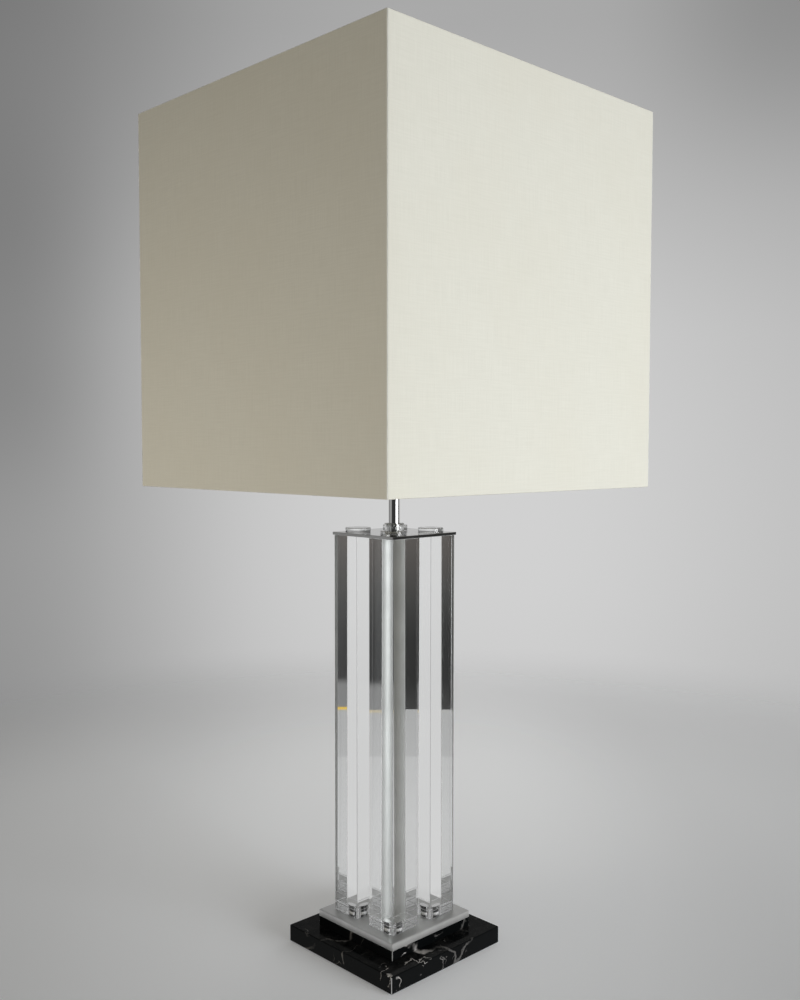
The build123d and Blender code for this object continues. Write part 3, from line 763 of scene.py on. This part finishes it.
def thread_mesh(name, low, high, radius, depth, pitch, wall=0.0, steps=64):
    """A thread rolled in a thin wall, or cut on a rod where there is no wall: its crest winds up as a helix."""
    rows = max(2, round((high - low) / pitch * 10))
    run_out = 0.6 * pitch

    def ring(height, inset):
        fade = max(min(1.0, (height - low) / run_out, (high - height) / run_out), 0.0)
        loop = []
        for i in range(steps):
            angle = 2 * math.pi * i / steps
            wave = 0.5 + 0.5 * math.cos(2 * math.pi * (height - low) / pitch - angle)
            r = radius - depth * (1 - wave * fade) - inset
            loop.append((r * math.cos(angle), r * math.sin(angle), height))
        return loop

    heights = [low + (high - low) * k / rows for k in range(rows + 1)]
    loops = [ring(height, 0.0) for height in heights]
    if wall:
        built = bridged(loops + [ring(height, wall) for height in reversed(heights)])
    else:
        built = bridged(loops, closed_profile=False)
        bmesh.ops.holes_fill(built, edges=built.edges[:], sides=0)
    return finished(built, name)


def four_places_tree():
    """Geometry nodes that stand the same part at the corners of a square."""
    tree = bpy.data.node_groups.new("four_places", "GeometryNodeTree")
    tree.is_modifier = True
    open_socket(tree, "Geometry", "Geometry")
    open_socket(tree, "Pitch", "Float")
    open_socket(tree, "Material", "Material")
    open_socket(tree, "Geometry", "Geometry", "OUTPUT")
    given = tree.nodes.new("NodeGroupInput").outputs
    out = tree.nodes.new("NodeGroupOutput").inputs
    grid = add(tree, "GeometryNodeMeshGrid", {"Size X": given["Pitch"], "Size Y": given["Pitch"],
                                              "Vertices X": 2, "Vertices Y": 2})
    points = add(tree, "GeometryNodeInstanceOnPoints", {"Points": grid.outputs["Mesh"],
                                                        "Instance": given["Geometry"]})
    real = add(tree, "GeometryNodeRealizeInstances", {"Geometry": points.outputs[0]})
    done = add(tree, "GeometryNodeSetMaterial", {"Geometry": real.outputs[0], "Material": given["Material"]})
    tree.links.new(done.outputs[0], out["Geometry"])
    return tree


def at_four_places(mesh, pitch, slot, name):
    """A mesh on the lamp's axis, repeated at the bars' axes by geometry nodes, as one plain mesh."""
    tree = four_places_tree()
    source = in_scene(name + "_source", mesh)
    modifier = source.modifiers.new("places", "NODES")
    modifier.node_group = tree
    sockets = {item.name: item.identifier for item in tree.interface.items_tree if item.in_out == "INPUT"}
    modifier[sockets["Pitch"]] = pitch
    modifier[sockets["Material"]] = MATERIALS[slot]
    bpy.context.view_layer.update()
    graph = bpy.context.evaluated_depsgraph_get()
    result = bpy.data.meshes.new_from_object(source.evaluated_get(graph), depsgraph=graph)
    result.name = name
    bpy.data.objects.remove(source)
    return result


def bar_screws():
    """The screws up into the inserts in the bars' feet, each a countersunk head and a threaded shank."""
    head_height = 2.6 * MM
    head_radius = 4.75 * MM
    shank_radius = 2.5 * MM
    core = 0.4 * MM              # radius of the head's open middle, inside the shank
    low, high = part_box("column_screws")
    top = low.z + head_height
    shank = thread_mesh("screw", low.z + 0.98 * head_height, high.z, shank_radius, 0.38 * MM, 0.8 * MM,
                        steps=32)
    head = lathe([(core, low.z), (head_radius, low.z), (shank_radius - 0.05 * MM, top), (core, top)], 32)
    head.from_mesh(shank)
    screws = at_four_places(finished(head, "bar_screw"), 2 * middle("column_front").x, "steel", "bar_screws")
    new_piece(screws, "steel", "base", ["column_screws"], smooth=50)


# ---------------------------------------------------------------- lampholder, bulb and finial

BULB_PITCH = 3.63 * MM


def lampholder_cap():
    """The drawn cap: a hub on the lamp pipe, and a skirt that flares out from it."""
    low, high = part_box("socket_cap")
    rim = high.x
    pipe_hole = 5.3 * MM
    hub = 8.5 * MM
    hub_top = low.z + 6 * MM
    flare = low.z + 15 * MM
    wall = 0.8 * MM
    cap = [(pipe_hole, low.z), (hub, low.z), (hub, hub_top), (rim, flare), (rim, high.z - 3 * wall),
           (rim, high.z), (rim - wall, high.z), (rim - wall, flare + wall / 2),
           (hub - wall, hub_top + wall), (pipe_hole, hub_top + wall)]
    turned_piece("lampholder_cap", cap, "socket_brass", "base", ["socket_cap"], corner=3.2 * MM)


def lampholder_shell():
    """The drawn shell, with two beads rolled in it."""
    low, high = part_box("socket_shell")
    outer = high.x
    inner = outer - 0.6 * MM
    rim = 0.5 * MM
    bead_half = 1.4 * MM
    bead_depth = 0.5 * MM

    def bead(share, radius, upwards):
        bead_middle = low.z + share * (high.z - low.z)
        angles = [math.pi * k / 8 for k in range(9)]
        return [(radius - bead_depth * math.sin(a), bead_middle - upwards * bead_half * math.cos(a))
                for a in angles]

    shell = [(outer, low.z)] + bead(0.34, outer, 1) + bead(0.86, outer, 1)
    shell += [(outer, high.z - rim), (outer - 0.3 * MM, high.z), (inner, high.z)]
    shell += bead(0.86, inner, -1) + bead(0.34, inner, -1) + [(inner, low.z)]
    turned_piece("lampholder_shell", shell, "socket_brass", "base", ["socket_shell"])


def lampholder_thread():
    """The rolled contact that the bulb screws into."""
    low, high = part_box("contact_thread")
    mesh = thread_mesh("lampholder_thread", low.z, high.z, high.x, 0.35 * MM, BULB_PITCH, wall=0.3 * MM)
    new_piece(mesh, "socket_brass", "base", ["contact_thread"], smooth=60)


def key_ferrule():
    """The ring round the turn key's shaft, where it leaves the shell."""
    inner = 2.6 * MM
    outer = 4.2 * MM
    length = 2.4 * MM
    sunk = 0.9 * MM
    shaft = middle("switch_key")
    shell_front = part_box("socket_shell")[1].x
    outline = [(inner, 0), (outer, 0), (outer, length), (inner, length)]
    mesh = finished(lathe(rounded(outline, 0.5 * MM), 48), "key_ferrule")
    for vertex in mesh.vertices:
        x, y, z = vertex.co
        vertex.co = (x, sunk - shell_front - z, shaft.z + y)
    new_piece(mesh, "socket_brass", "base", smooth=40)


def bulb_fittings():
    """The bulb's cap with its rolled thread and plain skirt, and the solder dome on its tip."""
    low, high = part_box("bulb_cap")
    skirt_foot = high.z - 3.4 * MM
    mesh = thread_mesh("bulb_thread", low.z, skirt_foot, high.x, 0.7 * MM, BULB_PITCH, wall=0.4 * MM)
    new_piece(mesh, "bulb_metal", "bulb", ["bulb_cap"], smooth=60)
    skirt_outer = high.x - 0.35 * MM
    skirt_inner = high.x - 1.2 * MM
    neck = high.x - 0.75 * MM
    start = skirt_foot - 0.3 * MM
    skirt = [(skirt_inner, start), (neck, start), (skirt_outer, start + 1.1 * MM), (skirt_outer, high.z),
             (skirt_inner, high.z)]
    turned_piece("bulb_skirt", skirt, "bulb_metal", "bulb", [], corner=0.3 * MM, steps=64)
    low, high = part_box("bulb_tip")
    dome = [(ON_AXIS, high.z)]
    dome += [(high.x * math.cos(angle) ** 0.6 + ON_AXIS, high.z - (high.z - low.z) * math.sin(angle))
             for angle in quarter_turn(8)]
    mesh = finished(lathe(dome, 48), "bulb_solder", has_poles=True)
    new_piece(mesh, "bulb_metal", "bulb", ["bulb_tip"], smooth=60)


def turned_finial():
    """The finial: a flange, a waist with two fillets, and a ball, over a blind bore."""
    low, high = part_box("finial")
    ball = high.x
    centre = high.z - ball
    flange = 6.5 * MM
    waist = 4.2 * MM
    bore = 3.25 * MM
    bore_depth = 12.5 * MM
    bore_point = 13.9 * MM       # height of the drilled bore's point
    arris = 0.4 * MM
    shoulder = flange - 2 * arris
    waist_foot = 2.3 * MM
    waist_height = 4.2 * MM
    ball_foot = 6.9 * MM
    outline = [(bore, low.z), (flange - arris, low.z), (flange, low.z + arris), (flange, low.z + 1.5 * MM),
               (shoulder, low.z + waist_foot)]
    for share in [k / 8 for k in range(1, 8)]:
        dip = math.sin(math.pi * share) * (flange - waist)
        outline.append((shoulder - dip, low.z + waist_foot + waist_height * share))
    start = math.asin(min(1.0, (centre - low.z - ball_foot) / ball))
    for k in range(25):
        angle = -start + (math.pi / 2 + start) * k / 24
        outline.append((max(ball * math.cos(angle), ON_AXIS), centre + ball * math.sin(angle)))
    outline += [(ON_AXIS, low.z + bore_point), (bore, low.z + bore_depth)]
    mesh = finished(lathe(outline), "finial_ball", has_poles=True)
    new_piece(mesh, "finial_metal", "finial", ["finial"], smooth=35)


# ---------------------------------------------------------------- floor, world, lamps, camera

CAMERA_AWAY = Vector((-1.0, 1.0, 0.0)).normalized()
PHOTO_RIGHT = Vector((1.0, 1.0, 0.0)).normalized()

FLOOR_NEAR = 0.75        # distance from the lamp at which the floor starts to melt into the backdrop
FLOOR_FAR = 1.9
FLOOR_GLOW = 0.28        # painted light: what an emission, seen only by the camera, adds to the floor behind the lamp, as the lit backdrop would
FLOOR_GLOW_FAR = 0.06
FLOOR_GLOW_CENTRE = CAMERA_AWAY * 0.65 + PHOTO_RIGHT * 0.08
FLOOR_GLOW_REACH = 1.3

# Directions in the world are given by their rise, the sine of their angle over the horizon, and by how far the
# level part of them points to the photograph's right, or away from the camera, as a cosine.
# The tables give (that value, brightness or colour).
BACKDROP_BY_RISE = ((-1.0, 0.50), (-0.33, 0.53), (-0.14, 0.66), (0.10, 0.62), (0.22, 0.50), (0.36, 0.385),
                    (1.0, 0.36))
BACKDROP_ACROSS = ((-0.38, 0.46), (-0.28, 0.58), (-0.15, 0.93), (0.0, 1.02), (0.18, 1.0), (0.34, 0.82))
BACKDROP_PAINTED_SHADOW = -0.20   # painted shadow: what the shadow at the left and the shade in the upper right corner take off the backdrop
ROOM_BY_RISE = ((-0.23, 0.022), (-0.18, 0.028), (-0.145, (0.056, 0.056, 0.054, 1)),
                (-0.09, (0.116, 0.105, 0.098, 1)), (0.10, 0.14), (0.5, 0.35))
FRONT_BY_RISE = ((-0.34, 0.85), (-0.22, 0.045), (0.45, 0.045), (0.75, 0.40))
LEFT_BY_RISE = ((-0.34, 0.90), (-0.24, 0.44), (0.45, 0.42), (0.75, 0.40))
AMBIENT = (0.150, 0.143, 0.128, 1.0)      # what the room adds on dull surfaces
WINDOW = 1.3
NEAR_CORNER = -0.0217    # of the front bar, to the right
LEFT_BAR_END = -0.055    # between the left bar and the front one, to the right
TABLE_END = -0.286       # rise at which the pale table at the lamp's sides turns darker
TABLE_EDGE = -0.2452     # rise of its edge
TABLE_LIP = 0.0024       # height of the edge's yellow lip, where it has one
LIP_DROP = 0.0030        # of the lip in the front bar, under that in the left bar
ROOM_FOOT = (0.021, 0.030)                # where the grey over the lip turns into the room, over the edge
YELLOW = (0.85, 0.56, 0.08, 1)
PALE_YELLOW = (0.55, 0.48, 0.34, 1)
TURNED = 0.985           # how near to square a ray turned inside a bar leaves it
CLEAR_GAIN = 0.14        # what a clear piece adds to the backdrop seen through it


def floor():
    """A pale floor that melts into the backdrop, with painted shade that darkens it to the sides, and a painted
    pool of light behind the lamp that only the camera sees.
    """
    built = bmesh.new()
    bmesh.ops.create_circle(built, cap_ends=True, segments=96, radius=FLOOR_FAR)
    mesh = bpy.data.meshes.new("floor")
    built.to_mesh(mesh)
    built.free()
    made = bpy.data.materials.new("pale_floor")
    made.use_nodes = True
    tree = made.node_tree
    tree.nodes.clear()
    place = tree.nodes.new("ShaderNodeTexCoord").outputs["Object"]
    away = vectors(tree, "LENGTH", place)
    seen = ranged(tree, away, FLOOR_NEAR, FLOOR_FAR - 0.05, 1.0, 0.0)
    grain = noise(tree, place, 400.0, detail=3.0)
    tone = blended(tree, grain, (0.840, 0.862, 0.888, 1), (0.870, 0.892, 0.918, 1))
    to_right = vectors(tree, "DOT_PRODUCT", place, PHOTO_RIGHT)
    # painted shade: the floor's tone darkens towards the right and the left of the view
    tone = scaled(tree, tone, ranged(tree, to_right, 0.12, 0.50, 1.0, 0.74))
    tone = scaled(tree, tone, ranged(tree, to_right, -0.16, -0.50, 1.0, 0.84))
    matte = add(tree, "ShaderNodeBsdfDiffuse", {"Color": tone, "Roughness": 0.5}).outputs[0]
    pool = vectors(tree, "DISTANCE", place, FLOOR_GLOW_CENTRE)
    glow = ranged(tree, pool, 0.0, FLOOR_GLOW_REACH, FLOOR_GLOW, FLOOR_GLOW_FAR)
    # painted light: a pool of emission behind the lamp, which only the camera sees
    glow = times(tree, glow, tree.nodes.new("ShaderNodeLightPath").outputs["Is Camera Ray"])
    shine = add(tree, "ShaderNodeEmission", {"Color": grey(1.0), "Strength": glow}).outputs[0]
    lit = add(tree, "ShaderNodeAddShader", {0: matte, 1: shine}).outputs[0]
    nothing = add(tree, "ShaderNodeBsdfTransparent").outputs[0]
    both = add(tree, "ShaderNodeMixShader", {0: seen, 1: nothing, 2: lit}).outputs[0]
    add(tree, "ShaderNodeOutputMaterial", {"Surface": both})
    mesh.materials.append(made)
    plane = in_scene("floor", mesh)
    plane.visible_glossy = False
    plane.visible_transmission = False


def backdrop_light(tree, rise, right):
    """The pale backdrop ahead, brightest behind the lamp, with a painted shadow at the left and painted shade
    in the upper right corner.
    """
    light = scaled(tree, ramp(tree, rise, BACKDROP_BY_RISE, "B_SPLINE"),
                   ramp(tree, right, BACKDROP_ACROSS, "B_SPLINE"))
    # painted shadow at the left, and painted shade in the upper right corner
    shadow = times(tree, inside(tree, rise, -0.10, 0.06, 0.16, 0.34), ranged(tree, right, -0.24, -0.36))
    corner = times(tree, ranged(tree, rise, 0.20, 0.36), ranged(tree, right, 0.16, 0.32))
    both = maths(tree, "ADD", shadow, corner)
    return scaled(tree, light, maths(tree, "MULTIPLY_ADD", both, BACKDROP_PAINTED_SHADOW, 1.0))


def room_light(tree, rise, right, away):
    """The dim room over a pale table at the lamp's sides, which shows turned, inside the bars."""
    dim = ramp(tree, rise, ROOM_BY_RISE)
    table = blended(tree, above(tree, rise, TABLE_END), grey(0.53), grey(0.45))
    plain = blended(tree, above(tree, rise, TABLE_EDGE), table, dim)
    in_left_bar = maths(tree, "LESS_THAN", maths(tree, "MINIMUM", right, away), LEFT_BAR_END)
    raised = maths(tree, "MULTIPLY_ADD", in_left_bar, -LIP_DROP, maths(tree, "ADD", rise, LIP_DROP))
    lip_colour = blended(tree, in_left_bar, PALE_YELLOW, YELLOW)
    lip = blended(tree, above(tree, raised, TABLE_EDGE + TABLE_LIP), lip_colour, grey(0.23))
    lipped = blended(tree, above(tree, raised, TABLE_EDGE), table, lip)
    foot = [TABLE_EDGE + height for height in ROOM_FOOT]
    lipped = blended(tree, ranged(tree, raised, *foot), lipped, dim)
    on_right = above(tree, right, 0.5)
    near_left = times(tree, maths(tree, "LESS_THAN", right, NEAR_CORNER), above(tree, right, -0.5))
    return blended(tree, maths(tree, "MAXIMUM", on_right, near_left), plain, lipped)


def studio_light(tree, rise, right, away, backdrop):
    """What metal and marble mirror: the backdrop, a window at the right, and the rest by its rise."""
    window = times(tree, inside(tree, right, 0.60, 0.68, 0.955, 0.975),
                   inside(tree, rise, -0.35, -0.20, 0.55, 0.75))
    front = blended(tree, ranged(tree, right, -0.76, -0.88), ramp(tree, rise, FRONT_BY_RISE),
                    ramp(tree, rise, LEFT_BY_RISE))
    front = blended(tree, window, front, grey(WINDOW))
    return blended(tree, ranged(tree, away, 0.0, 0.34), front, backdrop)


def world():
    """The light from each direction, by what the ray has met on its way there."""
    made = bpy.data.worlds.new("studio")
    made.use_nodes = True
    bpy.context.scene.world = made
    tree = made.node_tree
    tree.nodes.clear()
    direction = tree.nodes.new("ShaderNodeTexCoord").outputs["Generated"]
    rise = apart(tree, direction)[2]
    level = vectors(tree, "NORMALIZE", vectors(tree, "MULTIPLY", direction, (1.0, 1.0, 0.0)))
    right = vectors(tree, "DOT_PRODUCT", level, PHOTO_RIGHT)
    away = vectors(tree, "DOT_PRODUCT", level, CAMERA_AWAY)

    path = tree.nodes.new("ShaderNodeLightPath").outputs
    mirrored = above(tree, path["Glossy Depth"], 0.5)
    mirrored_twice = above(tree, path["Glossy Depth"], 1.5)
    entered = above(tree, path["Transmission Depth"], 0.5)
    off_dull = above(tree, path["Diffuse Depth"], 0.5)
    sideways = above(tree, maths(tree, "ABSOLUTE", right), TURNED)
    onwards = times(tree, mirrored_twice, above(tree, away, TURNED))
    turned = times(tree, entered, maths(tree, "MAXIMUM", sideways, onwards))
    turned = times(tree, turned, mirrored)

    backdrop = backdrop_light(tree, rise, right)
    straight = scaled(tree, backdrop, maths(tree, "MULTIPLY_ADD", entered, CLEAR_GAIN, 1.0))
    colour = blended(tree, mirrored, straight, studio_light(tree, rise, right, away, backdrop))
    colour = blended(tree, turned, colour, room_light(tree, rise, right, away))
    colour = blended(tree, off_dull, colour, AMBIENT)
    background = add(tree, "ShaderNodeBackground", {"Color": colour, "Strength": 1.0}).outputs[0]
    add(tree, "ShaderNodeOutputWorld", {"Surface": background})


def soft_lamp(name, place, target, size, power, colour, mirrored=False, spread=180):
    """A rectangular lamp that the camera doesn't see. A mirrored one shows in metal and marble."""
    lamp = bpy.data.lights.new(name, "AREA")
    lamp.shape = "RECTANGLE"
    lamp.spread = math.radians(spread)
    lamp.size, lamp.size_y = size
    lamp.energy = power
    lamp.color = colour
    holder = in_scene(name, lamp)
    holder.location = place
    holder.rotation_euler = (Vector(target) - Vector(place)).to_track_quat("-Z", "Y").to_euler()
    holder.visible_camera = False
    holder.visible_transmission = False
    holder.visible_glossy = mirrored


def lamps():
    soft_lamp("key", (2.25, 0.34, 0.38), (0.0, 0.0, 0.55), (1.4, 1.2), 38.5, (0.985, 1.0, 1.02), mirrored=True)
    soft_lamp("fill", (-0.60, -1.7, 0.16), (0.05, 0.0, 0.45), (1.2, 0.5), 2.05, (1.0, 0.92, 0.80), spread=72)
    soft_lamp("rim", (-0.5, 2.4, 0.9), (0.0, 0.0, 0.4), (1.2, 1.2), 12.0, (1.0, 1.0, 1.0))


def camera():
    """The photograph's view: level with the bars, looking down by 3 degrees at the foot's near corner."""
    lens = bpy.data.cameras.new("camera")
    lens.sensor_fit = "VERTICAL"
    lens.sensor_height = 36.0
    lens.lens = 38.2
    holder = in_scene("camera", lens)
    holder.location = (0.8673, -0.8312, 0.5775)
    holder.rotation_euler = (math.pi / 2 - 0.053, -0.001, math.pi / 4 + 0.016)
    bpy.context.scene.camera = holder


dress_cad_nodes()
shade_cover()
shade_seam()
bars()
buttons()
collar()
bar_screws()
lampholder_cap()
lampholder_shell()
lampholder_thread()
key_ferrule()
bulb_fittings()
turned_finial()
floor()
world()
lamps()
camera()
bpy.context.scene.view_settings.view_transform = "Standard"
